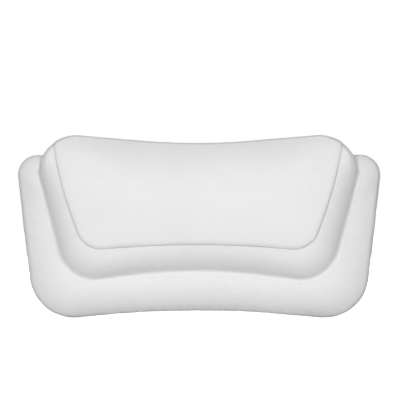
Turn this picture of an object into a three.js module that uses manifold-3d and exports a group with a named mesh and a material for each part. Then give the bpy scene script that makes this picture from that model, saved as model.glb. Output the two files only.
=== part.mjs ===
// Bath pillow: a wide padded base with a raised headrest sewn to its front, held to the bath by suction cups.
// Millimetres, +Z up, front towards -Y. The origin lies in the plane of the suction cups' rims, at the middle of
// the cups, so the bath's wall is the plane y = 0.

import * as THREE from "three";
import { mergeVertices } from "three/addons/utils/BufferGeometryUtils.js";
import Module from "manifold-3d";

// Base outline: widths and height between the corners where its straight edges would meet.
// A corner's rounding reaches the given length along both of its edges.
const BASE_TOP_WIDTH = 387.5;
const BASE_BOTTOM_WIDTH = 346.5;
const BASE_HEIGHT = 176.5;
const BASE_TOP_CORNER = 25.5;
const BASE_BOTTOM_CORNER = 45.5;
const BASE_TOP_FALL = 11.5; // fall of the upper edge from its corners to its middle, before rounding
const BASE_BOTTOM_RISE = 14.5; // rise of the lower edge from its corners to its middle, before rounding
const BASE_BOTTOM_ARCH = 74.5; // reach of the rounding at the lower edge's middle

// Base section, from the rear panel's outer face forwards.
const BASE_THICKNESS = 34;
const BASE_BELLY_DEPTH = 15; // where the base is widest
const BASE_DRAW_IN = 7; // how far the rear seam draws the cover in
const BASE_FRONT_ROLL = 28; // width of the rounded edge as seen from the front

// Headrest outline, measured as the base's is.
const HEADREST_TOP_WIDTH = 360.5;
const HEADREST_BOTTOM_WIDTH = 274;
const HEADREST_HEIGHT = 160;
const HEADREST_ABOVE_BASE_FOOT = 40.5; // its lower corners above the base's
const HEADREST_TOP_CORNER = 57.5;
const HEADREST_BOTTOM_CORNER = 35.5;
const HEADREST_TOP_FALL = 16;
const HEADREST_TOP_ARCH = 60.5;
const HEADREST_BOTTOM_RISE = 18;
const HEADREST_BOTTOM_ARCH = 74.5;

// Headrest section, from the base's front forwards.
const HEADREST_DEPTH = 30; // to the front of its rolled edge
const HEADREST_CROWN = 4.5; // swell of the face beyond that edge
const HEADREST_TOP_ROLL = 45;
const HEADREST_SIDE_ROLL = 21;
const HEADREST_BOTTOM_ROLL = 28;
const HEADREST_TOP_BELLY_DEPTH = 11; // where the overhanging top reaches highest
const HEADREST_FOOT_WALL = 3; // upright part of the border where it meets the base
const HEADREST_TOP_TUCK = 5; // how far the rear seam draws the top in

// Seam between face panel and border strip: width of the border along the headrest's outline corners.
const BORDER_AT_TOP = 26;
const BORDER_AT_FOOT = 20;
const BORDER_UNDER_CORNER = 35;
const BORDER_UNDER_MIDDLE = 28;
const SEAM_SHOULDER_DROP = 21.5; // bend of the seam below the headrest's upper corners
const SEAM_SHOULDER_ROUND = 72.5;
const SEAM_FOOT_CORNER = 21.5;
const WELT_WIDTH = 1.8;
const WELT_RECESS = 0.6;

// Sheets, piping and the clearance between pieces that touch.
const GAP = 0.3;
const COVER_THICKNESS = 1.6;
const REAR_PANEL_THICKNESS = 1.6;
const HEADREST_PANEL_THICKNESS = 1.2;
const PIPING_DIAMETER = 4;

// Pattern of the suction sets, measured to the middles of the outer cups from the base's corners above and below
// them, and from its sides at half their height.
const CUP_COLUMNS = 3;
const CUP_ROWS = 2;
const CUP_SIDE_MARGIN = 63.5;
const CUP_TOP_MARGIN = 46;
const CUP_BOTTOM_MARGIN = 52.5;

// Suction cup, from its rim to the end of its neck.
const CUP_DIAMETER = 50;
const CUP_HEIGHT = 14;
const CUP_HOLLOW_DEPTH = 5.5;
const CUP_WALL = 1.6;
const CUP_RIM_WIDTH = 3;
const CUP_LIP_THICKNESS = 1.2;
const CUP_NECK_DIAMETER = 18;
const CUP_PRESS_TRAVEL = 3; // how far a cup and its stud can be pushed towards the pillow
const TAB_WIDTH = 11;
const TAB_LENGTH = 7;
const TAB_THICKNESS = 1;

// Stud and two-part eyelet.
const STUD_DIAMETER = 8.8;
const STUD_HEAD_DIAMETER = 16;
const STUD_HEAD_THICKNESS = 2.5;
const STUD_BARB_DIAMETER = 11.2;
const STUD_BARB_LENGTH = 2;
const STUD_PLAY = 0.6; // room around the stud in the eyelet
const EYELET_WALL = 1.6;
const EYELET_FLANGE_DIAMETER = 22;
const EYELET_FLANGE_THICKNESS = 1.2;
const EYELET_LIP_DIAMETER = 17;
const EYELET_LIP_THICKNESS = 1;
const WASHER_DIAMETER = 21;
const WASHER_THICKNESS = 1;
const POCKET_PLAY = 1.5; // room in the foam around the washer

// Fineness of the faceted surfaces.
const OUTLINE_POINTS = 68;
const SEAM_POINTS = 44;
const BACK_STEPS = 2;
const ROLL_STEPS = 4;
const FACE_STEPS = 2;
const PIPING_SIDES = 6;
const ROUND_SIDES = 16;
const CUP_SIDES = 20;
const CURVE_STEPS = 4;
const WELD_DISTANCE = 1e-4;

// Shares and angles of the forms.
const BACK_SWEEP = Math.PI / 3; // turn of the base's section from its widest line back to the rear seam
const QUARTER_TURN = Math.PI / 2;
const FACE_REACH = 0.8; // share of the way to the spine that the crowned face is drawn in rings

// Places that follow from the sizes: y of the base's rear face, z of the base's and the headrest's corners.
const rearFace = -(CUP_HEIGHT + GAP + CUP_PRESS_TRAVEL + EYELET_FLANGE_THICKNESS + GAP);
const rowSpan = BASE_HEIGHT - CUP_TOP_MARGIN - CUP_BOTTOM_MARGIN;
const columnSpan = (BASE_TOP_WIDTH + BASE_BOTTOM_WIDTH) / 2 - 2 * CUP_SIDE_MARGIN;
const baseFoot = -CUP_BOTTOM_MARGIN - rowSpan / 2;
const baseTop = baseFoot + BASE_HEIGHT;
const headrestFoot = baseFoot + HEADREST_ABOVE_BASE_FOOT;
const headrestTop = headrestFoot + HEADREST_HEIGHT;
const headrestBack = BASE_THICKNESS + GAP;

// Depths along a suction set, forwards from the base's rear face.
const washerDepth = REAR_PANEL_THICKNESS + GAP;
const lipDepth = washerDepth + WASHER_THICKNESS + GAP;
const studHeadDepth = lipDepth + EYELET_LIP_THICKNESS + GAP;
const studHeadEnd = studHeadDepth + STUD_HEAD_THICKNESS;
const pocketDepth = studHeadEnd + CUP_PRESS_TRAVEL + GAP;

// Radii along a suction set.
const studRadius = STUD_DIAMETER / 2;
const eyeletBore = studRadius + STUD_PLAY;
const eyeletBarrel = eyeletBore + EYELET_WALL;
const panelHole = eyeletBarrel + GAP;

// The rear seam: the piping lies between the cover's rim and the rear panel's edge.
const pipingRadius = PIPING_DIAMETER / 2;
const pipingDepth = REAR_PANEL_THICKNESS / 2;
const rimDepth = pipingDepth + pipingRadius + GAP;
const pipingInset = BASE_DRAW_IN + COVER_THICKNESS / 2;
const rearPanelInset = pipingInset + pipingRadius + GAP;

const wasm = await Module();
wasm.setup();

// Points around a closed outline of straight edges with arcs at its corners, counter-clockwise as seen from the
// front. A corner is [x, z, reach], and its arc starts and ends that far along its two edges. A corner without a
// reach lies on x = 0 and takes all that its neighbours leave of its edges. The first point lies on x = 0.
function roundedOutline(corners, count) {
  const points = corners.map(([x, z]) => new THREE.Vector2(x, z));
  const following = (i) => (i + 1) % corners.length;
  const reaches = corners.map(
    ([, , reach], i) => reach ?? points[i].distanceTo(points[following(i)]) - corners[following(i)][2],
  );
  const path = new THREE.Path();
  points.forEach((corner, i) => {
    const back = points.at(i - 1).clone().sub(corner).setLength(reaches[i]);
    const onward = points[following(i)].clone().sub(corner).setLength(reaches[i]);
    const turn = Math.PI - back.angleTo(onward);
    // How far from the corner a cubic curve's handles end so that it follows a circle's arc of this turn.
    const handle = 1 - (2 / 3) * (1 - Math.tan(turn / 4) ** 2);
    const start = corner.clone().add(back);
    const end = corner.clone().add(onward);
    const leaving = corner.clone().addScaledVector(back, handle);
    const arriving = corner.clone().addScaledVector(onward, handle);
    if (i === 0) {
      path.moveTo(start.x, start.y);
    } else {
      path.lineTo(start.x, start.y);
    }
    path.bezierCurveTo(leaving.x, leaving.y, arriving.x, arriving.y, end.x, end.y);
  });
  path.closePath();
  const middle = path.curves[0].getLength() / 2 / path.getLength();
  return Array.from({ length: count }, (_, i) => path.getPoint((middle + i / count) % 1));
}

// Corners of an outline that is mirrored left to right, from those of its right half.
function mirrored([bottom, ...right]) {
  const top = right.at(-1)[0] === 0 ? [right.at(-1)] : [];
  const corners = right.slice(0, right.length - top.length);
  const left = corners.map(([x, z, reach]) => [-x, z, reach]).reverse();
  return [bottom, ...corners, ...top, ...left];
}

// An outline moved inwards by a distance, or outwards by a negative one.
function insetOutline(outline, distance) {
  return outline.map((point, i) => {
    const along = outline[(i + 1) % outline.length].clone().sub(outline.at(i - 1)).normalize();
    return new THREE.Vector2(point.x - along.y * distance, point.y + along.x * distance);
  });
}

// The point of a cushion's level spine that a point of its outline is drawn towards.
function spinePoint(point, spine) {
  return new THREE.Vector2(THREE.MathUtils.clamp(point.x, -spine.half, spine.half), spine.z);
}

// A ring of points at a depth forwards from the base's rear face.
function ringAt(outline, depth) {
  return outline.map((point) => new THREE.Vector3(point.x, rearFace - depth, point.y));
}

// Shares from 0 to 1 in equal steps.
function shares(steps) {
  return Array.from({ length: steps + 1 }, (_, i) => i / steps);
}

// The facets of the bands between rings of equally many points, each band given as the first points of its two
// rings, from back to front. The facets of the left half mirror those of the right.
function bandFacets(bands, count) {
  const facets = [];
  for (const [back, front] of bands) {
    for (let i = 0; i < count; i += 1) {
      const j = (i + 1) % count;
      if (i < count / 2) {
        facets.push([back + i, back + j, front + j], [back + i, front + j, front + i]);
      } else {
        facets.push([back + i, back + j, front + i], [back + j, front + j, front + i]);
      }
    }
  }
  return facets;
}

// The facets of a flat cap over a ring, facing forwards.
function capFacets(ring, first) {
  const flat = ring.map((point) => new THREE.Vector2(point.x, point.z));
  return THREE.ShapeUtils.triangulateShape(flat, []).map((facet) => facet.map((corner) => first + corner));
}

// The facets of a skin over rings that run from back to front, closed at the front by a cap.
function skinFacets(rings, first) {
  const count = rings[0].length;
  const bands = rings.slice(1).map((_, i) => [first + i * count, first + (i + 1) * count]);
  return [...bandFacets(bands, count), ...capFacets(rings.at(-1), first + (rings.length - 1) * count)];
}

// The same facets, facing the other way.
function reversed(facets) {
  return facets.map(([a, b, c]) => [a, c, b]);
}

function meshOf(points, facets) {
  const geometry = new THREE.BufferGeometry().setFromPoints(points);
  geometry.setIndex(facets.flat());
  return geometry;
}

// A solid over rings that run from back to front, closed flat at both ends.
function filling(rings) {
  const facets = [...skinFacets(rings, 0), ...reversed(capFacets(rings[0], 0))];
  return meshOf(rings.flat(), facets);
}

// A fabric tray, open at the back, between an outer and an inner row of rings.
function tray(outerRings, innerRings) {
  const count = outerRings[0].length;
  const inner = outerRings.length * count;
  const facets = [
    ...skinFacets(outerRings, 0),
    ...reversed(skinFacets(innerRings, inner)),
    ...bandFacets([[inner, 0]], count),
  ];
  return meshOf([...outerRings, ...innerRings].flat(), facets);
}

// A cord that runs round to its own start, as a row of rings joined last to first.
function closedCord(rings) {
  const count = rings[0].length;
  const bands = rings.map((_, i) => [i * count, ((i + 1) % rings.length) * count]);
  return meshOf(rings.flat(), bandFacets(bands, count));
}

// A flat sheet of an outline, with round holes, between two depths from the base's rear face.
function sheet(outline, fromDepth, toDepth, holes = []) {
  const shape = new THREE.Shape(outline);
  for (const hole of holes) {
    shape.holes.push(new THREE.Path().absarc(hole.x, hole.y, hole.radius, 0, 2 * Math.PI));
  }
  const options = { depth: toDepth - fromDepth, bevelEnabled: false, curveSegments: ROUND_SIDES / 2 };
  const geometry = new THREE.ExtrudeGeometry(shape, options);
  geometry.rotateX(QUARTER_TURN);
  geometry.translate(0, rearFace - fromDepth, 0);
  return geometry;
}

// A closed mesh as a solid for cutting and joining, with shared points merged and collapsed facets left out.
function toSolid(geometry) {
  const bare = new THREE.BufferGeometry();
  bare.setAttribute("position", geometry.getAttribute("position"));
  bare.setIndex(geometry.getIndex());
  const welded = mergeVertices(bare, WELD_DISTANCE);
  const corners = Array.from(welded.getIndex().array);
  const triVerts = [];
  for (let i = 0; i < corners.length; i += 3) {
    const [a, b, c] = corners.slice(i, i + 3);
    if (a !== b && b !== c && c !== a) {
      triVerts.push(a, b, c);
    }
  }
  const vertProperties = Float32Array.from(welded.getAttribute("position").array);
  return new wasm.Manifold(new wasm.Mesh({ numProp: 3, vertProperties, triVerts: Uint32Array.from(triVerts) }));
}

function toGeometry(solid) {
  const mesh = solid.getMesh();
  const geometry = new THREE.BufferGeometry();
  geometry.setAttribute("position", new THREE.BufferAttribute(mesh.vertProperties, 3));
  geometry.setIndex(new THREE.BufferAttribute(mesh.triVerts, 1));
  return geometry;
}

// Outlines of the base, the headrest and the seam on the headrest
const baseOutline = roundedOutline(
  mirrored([
    [0, baseFoot + BASE_BOTTOM_RISE, BASE_BOTTOM_ARCH],
    [BASE_BOTTOM_WIDTH / 2, baseFoot, BASE_BOTTOM_CORNER],
    [BASE_TOP_WIDTH / 2, baseTop, BASE_TOP_CORNER],
    [0, baseTop - BASE_TOP_FALL],
  ]),
  OUTLINE_POINTS,
);
const headrestOutline = roundedOutline(
  mirrored([
    [0, headrestFoot + HEADREST_BOTTOM_RISE, HEADREST_BOTTOM_ARCH],
    [HEADREST_BOTTOM_WIDTH / 2, headrestFoot, HEADREST_BOTTOM_CORNER],
    [HEADREST_TOP_WIDTH / 2, headrestTop, HEADREST_TOP_CORNER],
    [0, headrestTop - HEADREST_TOP_FALL, HEADREST_TOP_ARCH],
  ]),
  OUTLINE_POINTS,
);

// The seam runs off over the headrest's top, so its outline is closed well above it.
const seamTopHalf = HEADREST_TOP_WIDTH / 2 - BORDER_AT_TOP;
const seamShoulder = headrestTop - SEAM_SHOULDER_DROP;
const seamClosing = seamShoulder + SEAM_SHOULDER_ROUND + SEAM_FOOT_CORNER;
const seamOutline = roundedOutline(
  mirrored([
    [0, headrestFoot + HEADREST_BOTTOM_RISE + BORDER_UNDER_MIDDLE],
    [HEADREST_BOTTOM_WIDTH / 2 - BORDER_AT_FOOT, headrestFoot + BORDER_UNDER_CORNER, SEAM_FOOT_CORNER],
    [seamTopHalf, seamShoulder, SEAM_SHOULDER_ROUND],
    [seamTopHalf, seamClosing, GAP],
  ]),
  SEAM_POINTS,
);

const baseSpine = { half: (BASE_BOTTOM_WIDTH - BASE_HEIGHT) / 2, z: (baseFoot + baseTop) / 2 };
const headrestSpine = {
  half: (HEADREST_BOTTOM_WIDTH - HEADREST_HEIGHT) / 2,
  z: (headrestFoot + headrestTop) / 2,
};

// Rings of the base's skin, set inside its outer face by a distance: from the drawn-in rear seam round the widest
// line and over the rolled edge to the flat front.
function baseRings(inside) {
  const outline = insetOutline(baseOutline, inside);
  const backDepth = (BASE_BELLY_DEPTH - rimDepth) / Math.sin(BACK_SWEEP) - inside;
  const frontDepth = BASE_THICKNESS - BASE_BELLY_DEPTH - inside;
  const back = shares(BACK_STEPS).map((share) => {
    const angle = BACK_SWEEP * (1 - share);
    const drawnIn = (BASE_DRAW_IN * (1 - Math.cos(angle))) / (1 - Math.cos(BACK_SWEEP));
    return ringAt(insetOutline(outline, drawnIn), BASE_BELLY_DEPTH - backDepth * Math.sin(angle));
  });
  const front = shares(ROLL_STEPS).map((share) => {
    const angle = QUARTER_TURN * share;
    const rolled = BASE_FRONT_ROLL * (1 - Math.cos(angle));
    const drawn = outline.map((point) => {
      const inward = spinePoint(point, baseSpine).sub(point).setLength(rolled);
      return point.clone().add(inward);
    });
    return ringAt(drawn, BASE_BELLY_DEPTH + frontDepth * Math.sin(angle));
  });
  return [...back, ...front.slice(1)];
}

// Swell of the headrest's face at a point of its front, highest in the middle and gone at its edges.
function crownAt(point) {
  const across = point.x / (HEADREST_BOTTOM_WIDTH / 2);
  const upward = (point.y - headrestSpine.z) / (HEADREST_HEIGHT / 2);
  return HEADREST_CROWN * Math.max(0, 1 - across ** 2) * Math.max(0, 1 - upward ** 2);
}

// Rings of the headrest's skin, set inside its outer face by a distance: from its rear edge over the rolled edge
// to the crowned face. The roll is widest along the top, where the rear seam also draws the skin in.
function headrestRings(inside) {
  const sections = insetOutline(headrestOutline, inside).map((point) => {
    const inward = spinePoint(point, headrestSpine).sub(point);
    const reach = inward.length();
    inward.normalize();
    const topShare = Math.max(0, -inward.y) ** 2;
    const footShare = Math.max(0, inward.y) ** 2;
    const sideShare = 1 - topShare - footShare;
    return {
      point,
      inward,
      reach,
      roll: HEADREST_TOP_ROLL * topShare + HEADREST_SIDE_ROLL * sideShare + HEADREST_BOTTOM_ROLL * footShare,
      belly: HEADREST_TOP_BELLY_DEPTH * topShare + HEADREST_FOOT_WALL * (1 - topShare),
      tuck: HEADREST_TOP_TUCK * topShare,
    };
  });
  // A ring drawn inwards by an inset, at the given share of the way from its belly to the crowned front.
  const ring = (insetOf, forward) =>
    sections.map((section) => {
      const drawn = section.point.clone().addScaledVector(section.inward, insetOf(section));
      const front = HEADREST_DEPTH - inside + crownAt(drawn);
      const depth = section.belly + (front - section.belly) * forward;
      return new THREE.Vector3(drawn.x, rearFace - headrestBack - depth, drawn.y);
    });
  const rear = sections.map(({ point, inward, tuck }) => point.clone().addScaledVector(inward, tuck));
  const rolled = shares(ROLL_STEPS).map((share) => {
    const angle = QUARTER_TURN * share;
    return ring(({ roll }) => roll * (1 - Math.cos(angle)), Math.sin(angle));
  });
  const face = shares(FACE_STEPS).map((share) => {
    const way = FACE_REACH * share;
    return ring(({ roll, reach }) => roll + (reach - roll) * way, 1);
  });
  return [ringAt(rear, headrestBack), ...rolled, ...face.slice(1)];
}

// Base cushion
const innerOffset = COVER_THICKNESS + GAP;
const baseFrontCover = tray(baseRings(0), baseRings(COVER_THICKNESS));

const cupCentres = [];
for (let row = 0; row < CUP_ROWS; row += 1) {
  for (let column = 0; column < CUP_COLUMNS; column += 1) {
    const x = columnSpan * (column / (CUP_COLUMNS - 1) - 0.5);
    const z = rowSpan * (0.5 - row / (CUP_ROWS - 1));
    cupCentres.push(new THREE.Vector2(x, z));
  }
}

const rearPanelOutline = insetOutline(baseOutline, rearPanelInset);
const eyeletHoles = cupCentres.map(({ x, y }) => ({ x, y, radius: panelHole }));
const baseRearPanel = sheet(rearPanelOutline, 0, REAR_PANEL_THICKNESS, eyeletHoles);

// The foam's rear face lies on the panel, inside the piping, and has a pocket for each eyelet and stud.
const foamBack = REAR_PANEL_THICKNESS + GAP;
const foamBackRing = ringAt(insetOutline(baseOutline, rearPanelInset + COVER_THICKNESS), foamBack);
const pocketRadius = WASHER_DIAMETER / 2 + POCKET_PLAY;
const pocketLength = pocketDepth - REAR_PANEL_THICKNESS;
const pocketMiddle = rearFace - REAR_PANEL_THICKNESS - pocketLength / 2;
const pocket = new THREE.CylinderGeometry(pocketRadius, pocketRadius, pocketLength, ROUND_SIDES);
const baseFoam = cupCentres.reduce(
  (foam, { x, y }) => foam.subtract(toSolid(pocket.clone().translate(x, pocketMiddle, y))),
  toSolid(filling([foamBackRing, ...baseRings(innerOffset)])),
);
const baseFoamCore = toGeometry(baseFoam);

// The piping is a round cord along the rear seam, made of outlines set around its own section.
const pipingRings = Array.from({ length: PIPING_SIDES }, (_, side) => {
  const angle = (2 * Math.PI * side) / PIPING_SIDES;
  const outline = insetOutline(baseOutline, pipingInset - pipingRadius * Math.cos(angle));
  return ringAt(outline, pipingDepth + pipingRadius * Math.sin(angle));
});
const baseEdgePiping = closedCord(pipingRings);

// Headrest: one skin, parted along the seam into face panel and border strip
const headrestSkin = toSolid(tray(headrestRings(0), headrestRings(COVER_THICKNESS)));
const seamHalf = WELT_WIDTH / 2 + GAP;

// Everything in front of and behind the headrest that lies within the seam's outline, grown by a distance.
function withinSeam(grown) {
  const front = headrestBack + HEADREST_DEPTH + HEADREST_CROWN + GAP;
  return toSolid(sheet(insetOutline(seamOutline, -grown), headrestBack - GAP, front));
}

const headrestFacePanel = toGeometry(headrestSkin.intersect(withinSeam(-seamHalf)));
const headrestBorderStrip = toGeometry(headrestSkin.subtract(withinSeam(seamHalf)));
const weltSkin = toSolid(tray(headrestRings(WELT_RECESS), headrestRings(COVER_THICKNESS)));
const weltWay = withinSeam(WELT_WIDTH / 2).subtract(withinSeam(-WELT_WIDTH / 2));
const headrestFaceWelt = toGeometry(weltSkin.intersect(weltWay));

const headrestFilling = headrestRings(innerOffset);
const headrestPanelOutline = headrestFilling[0].map(({ x, z }) => new THREE.Vector2(x, z));
const headrestPanelFront = headrestBack + HEADREST_PANEL_THICKNESS;
const headrestRearPanel = sheet(headrestPanelOutline, headrestBack, headrestPanelFront);
const headrestFoamBack = ringAt(headrestPanelOutline, headrestPanelFront + GAP);
const headrestFoamCore = filling([headrestFoamBack, ...headrestFilling.slice(1)]);

// Pieces of a suction set, turned about the set's own axis, which runs along Y
function turned(profile, sides = ROUND_SIDES) {
  return new THREE.LatheGeometry(profile, sides);
}

// A profile point at a radius and a depth forwards from the base's rear face.
function at(radius, depth) {
  return new THREE.Vector2(radius, rearFace - depth);
}

const flangeOuter = -GAP - EYELET_FLANGE_THICKNESS;
const lipEnd = lipDepth + EYELET_LIP_THICKNESS;
const eyelet = turned([
  at(eyeletBore, lipEnd),
  at(EYELET_LIP_DIAMETER / 2, lipEnd),
  at(EYELET_LIP_DIAMETER / 2, lipDepth),
  at(eyeletBarrel, lipDepth),
  at(eyeletBarrel, -GAP),
  at(EYELET_FLANGE_DIAMETER / 2, -GAP),
  at(EYELET_FLANGE_DIAMETER / 2, flangeOuter),
  at(eyeletBore, flangeOuter),
  at(eyeletBore, lipEnd),
]);

const eyeletWasher = turned([
  at(panelHole, washerDepth + WASHER_THICKNESS),
  at(WASHER_DIAMETER / 2, washerDepth + WASHER_THICKNESS),
  at(WASHER_DIAMETER / 2, washerDepth),
  at(panelHole, washerDepth),
  at(panelHole, washerDepth + WASHER_THICKNESS),
]);

// The socket in the cup's neck ends at the bell's wall, and is wider where it catches the stud's barb.
const cupRadius = CUP_DIAMETER / 2;
const neckRadius = CUP_NECK_DIAMETER / 2;
const socketEnd = -(CUP_HOLLOW_DEPTH + CUP_WALL);
const studEnd = socketEnd - GAP;
const barbStart = studEnd - STUD_BARB_LENGTH;
const barbRadius = STUD_BARB_DIAMETER / 2;
const cupStud = turned([
  at(0, studHeadEnd),
  at(STUD_HEAD_DIAMETER / 2, studHeadEnd),
  at(STUD_HEAD_DIAMETER / 2, studHeadDepth),
  at(studRadius, studHeadDepth),
  new THREE.Vector2(studRadius, barbStart),
  new THREE.Vector2(barbRadius, barbStart),
  new THREE.Vector2(studRadius, studEnd),
  new THREE.Vector2(0, studEnd),
]);

const cupProfile = new THREE.Path();
cupProfile.moveTo(0, socketEnd);
cupProfile.lineTo(barbRadius + GAP, socketEnd);
cupProfile.lineTo(barbRadius + GAP, barbStart - GAP);
cupProfile.lineTo(studRadius + GAP, barbStart - GAP);
cupProfile.lineTo(studRadius + GAP, -CUP_HEIGHT);
cupProfile.lineTo(neckRadius, -CUP_HEIGHT);
cupProfile.lineTo(neckRadius, socketEnd - CUP_WALL);
cupProfile.quadraticCurveTo(neckRadius, -CUP_HOLLOW_DEPTH, cupRadius, -CUP_LIP_THICKNESS);
cupProfile.lineTo(cupRadius, 0);
cupProfile.lineTo(cupRadius - CUP_RIM_WIDTH, 0);
cupProfile.quadraticCurveTo(cupRadius / 2, -CUP_HOLLOW_DEPTH, 0, -CUP_HOLLOW_DEPTH);
const cupBell = turned(cupProfile.getPoints(CURVE_STEPS), CUP_SIDES);

// The release tab is a rounded tongue on the lowest point of the rim, just clear of the bath's wall.
const tabShape = new THREE.Shape();
const tabEnd = -cupRadius - TAB_LENGTH + TAB_WIDTH / 2;
tabShape.moveTo(-TAB_WIDTH / 2, -cupRadius + CUP_RIM_WIDTH);
tabShape.lineTo(-TAB_WIDTH / 2, tabEnd);
tabShape.absarc(0, tabEnd, TAB_WIDTH / 2, -Math.PI, 0);
tabShape.lineTo(TAB_WIDTH / 2, -cupRadius + CUP_RIM_WIDTH);
const tab = new THREE.ExtrudeGeometry(tabShape, {
  depth: TAB_THICKNESS,
  bevelEnabled: false,
  curveSegments: CURVE_STEPS,
});
tab.rotateX(QUARTER_TURN);
tab.translate(0, TAB_THICKNESS - CUP_LIP_THICKNESS, 0);
const suctionCup = toGeometry(toSolid(cupBell).add(toSolid(tab)));

// Materials: a soft white vinyl skin, pale foam, white nylon and clear-grey soft plastic cups
const looks = {
  vinyl: { color: 0xeeeeec, roughness: 0.55, metalness: 0 },
  backing: { color: 0xe4e4e2, roughness: 0.75, metalness: 0 },
  piping: { color: 0xe8e8e6, roughness: 0.5, metalness: 0 },
  foam: { color: 0xf1ead2, roughness: 0.95, metalness: 0 },
  nylon: { color: 0xf4f4f2, roughness: 0.4, metalness: 0 },
  cup: { color: 0xd8dfe2, roughness: 0.2, metalness: 0 },
};

function piece(name, geometry, look) {
  const mesh = new THREE.Mesh(geometry, new THREE.MeshStandardMaterial(looks[look]));
  mesh.name = name;
  return mesh;
}

const pillow = new THREE.Group();
pillow.add(
  piece("base_front_cover", baseFrontCover, "vinyl"),
  piece("base_foam_core", baseFoamCore, "foam"),
  piece("base_rear_panel", baseRearPanel, "backing"),
  piece("base_edge_piping", baseEdgePiping, "piping"),
  piece("headrest_face_panel", headrestFacePanel, "vinyl"),
  piece("headrest_border_strip", headrestBorderStrip, "vinyl"),
  piece("headrest_face_welt", headrestFaceWelt, "piping"),
  piece("headrest_rear_panel", headrestRearPanel, "backing"),
  piece("headrest_foam_core", headrestFoamCore, "foam"),
);

// The suction sets are numbered from the upper left as seen from the front.
cupCentres.forEach(({ x, y }, i) => {
  const set = new THREE.Group();
  set.position.set(x, 0, y);
  set.add(
    piece(`eyelet_${i + 1}`, eyelet, "nylon"),
    piece(`eyelet_washer_${i + 1}`, eyeletWasher, "nylon"),
    piece(`cup_stud_${i + 1}`, cupStud, "nylon"),
    piece(`suction_cup_${i + 1}`, suctionCup, "cup"),
  );
  pillow.add(set);
});

export default pillow;
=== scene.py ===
import math

import bmesh
import bpy
import numpy as np
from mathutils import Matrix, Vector
from mathutils.bvhtree import BVHTree


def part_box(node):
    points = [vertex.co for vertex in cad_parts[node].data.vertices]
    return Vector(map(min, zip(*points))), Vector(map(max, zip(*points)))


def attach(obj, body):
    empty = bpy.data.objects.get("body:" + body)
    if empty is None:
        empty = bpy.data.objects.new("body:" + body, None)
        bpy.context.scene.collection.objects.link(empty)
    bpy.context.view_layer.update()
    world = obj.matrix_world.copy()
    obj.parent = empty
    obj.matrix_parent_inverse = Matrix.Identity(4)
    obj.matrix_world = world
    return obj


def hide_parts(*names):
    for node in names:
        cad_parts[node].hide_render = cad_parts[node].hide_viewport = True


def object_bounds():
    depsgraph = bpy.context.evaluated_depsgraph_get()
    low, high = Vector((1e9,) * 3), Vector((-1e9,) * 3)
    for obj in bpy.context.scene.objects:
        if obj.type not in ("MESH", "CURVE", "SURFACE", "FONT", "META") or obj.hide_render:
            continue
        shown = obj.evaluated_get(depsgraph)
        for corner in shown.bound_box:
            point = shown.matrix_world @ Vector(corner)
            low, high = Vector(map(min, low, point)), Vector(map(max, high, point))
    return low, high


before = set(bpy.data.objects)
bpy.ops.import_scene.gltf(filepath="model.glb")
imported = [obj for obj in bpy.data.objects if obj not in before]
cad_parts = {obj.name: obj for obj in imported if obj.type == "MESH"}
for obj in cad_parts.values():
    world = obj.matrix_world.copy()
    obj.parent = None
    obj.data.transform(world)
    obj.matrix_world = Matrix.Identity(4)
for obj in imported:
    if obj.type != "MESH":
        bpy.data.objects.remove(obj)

cad_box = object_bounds()
cad_middle = (cad_box[0] + cad_box[1]) / 2

# Sizes of the cushions in metres, within a few millimetres those of the part's source.
MM = 0.001
BASE_TOP_WIDTH = 387.5 * MM
BASE_BOTTOM_WIDTH = 346.5 * MM
BASE_FOOT = -91.5 * MM
BASE_TOP = 85 * MM
BASE_TOP_CORNER = 25.5 * MM
BASE_BOTTOM_CORNER = 45.5 * MM
BASE_TOP_FALL = 11.5 * MM
BASE_BOTTOM_RISE = 14.5 * MM
BASE_BOTTOM_ARCH = 74.5 * MM
BASE_THICKNESS = 34 * MM
BASE_DRAW_IN = 7 * MM
BASE_PLATEAU = 50 * MM
BASE_SPINE = (BASE_FOOT + BASE_TOP) / 2
BASE_SPINE_HALF = (BASE_BOTTOM_WIDTH - (BASE_TOP - BASE_FOOT)) / 2
HEADREST_TOP_WIDTH = 360.5 * MM
HEADREST_BOTTOM_WIDTH = 274 * MM
HEADREST_FOOT = -51.4 * MM
HEADREST_TOP = 108 * MM
HEADREST_TOP_CORNER = 57.5 * MM
HEADREST_BOTTOM_CORNER = 35.5 * MM
HEADREST_TOP_FALL = 16 * MM
HEADREST_TOP_ARCH = 60.5 * MM
HEADREST_BOTTOM_RISE = 18 * MM
HEADREST_BOTTOM_ARCH = 74.5 * MM
HEADREST_BACK = 34.3 * MM
HEADREST_DEPTH = 28.5 * MM
HEADREST_SPINE = 36 * MM
HEADREST_SPINE_HALF = (HEADREST_BOTTOM_WIDTH - (HEADREST_TOP - HEADREST_FOOT)) / 2
BORDER_AT_TOP = 24.8 * MM
BORDER_AT_FOOT = 18.8 * MM
BORDER_UNDER_CORNER = 34.4 * MM
BORDER_UNDER_MIDDLE = 27.4 * MM
SEAM_SHOULDER_DROP = 21.5 * MM
SEAM_SHOULDER_ROUND = 72.5 * MM
SEAM_FOOT_CORNER = 21.5 * MM
SEAM_HALF_AT_FOOT = HEADREST_BOTTOM_WIDTH / 2 - BORDER_AT_FOOT
SEAM_HALF_AT_TOP = HEADREST_TOP_WIDTH / 2 - BORDER_AT_TOP
SEAM_SHOULDER = HEADREST_TOP - SEAM_SHOULDER_DROP
SEAM_CLOSING = SEAM_SHOULDER + SEAM_SHOULDER_ROUND + SEAM_FOOT_CORNER
SEAM_CLOSING_CORNER = 1 * MM

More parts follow.
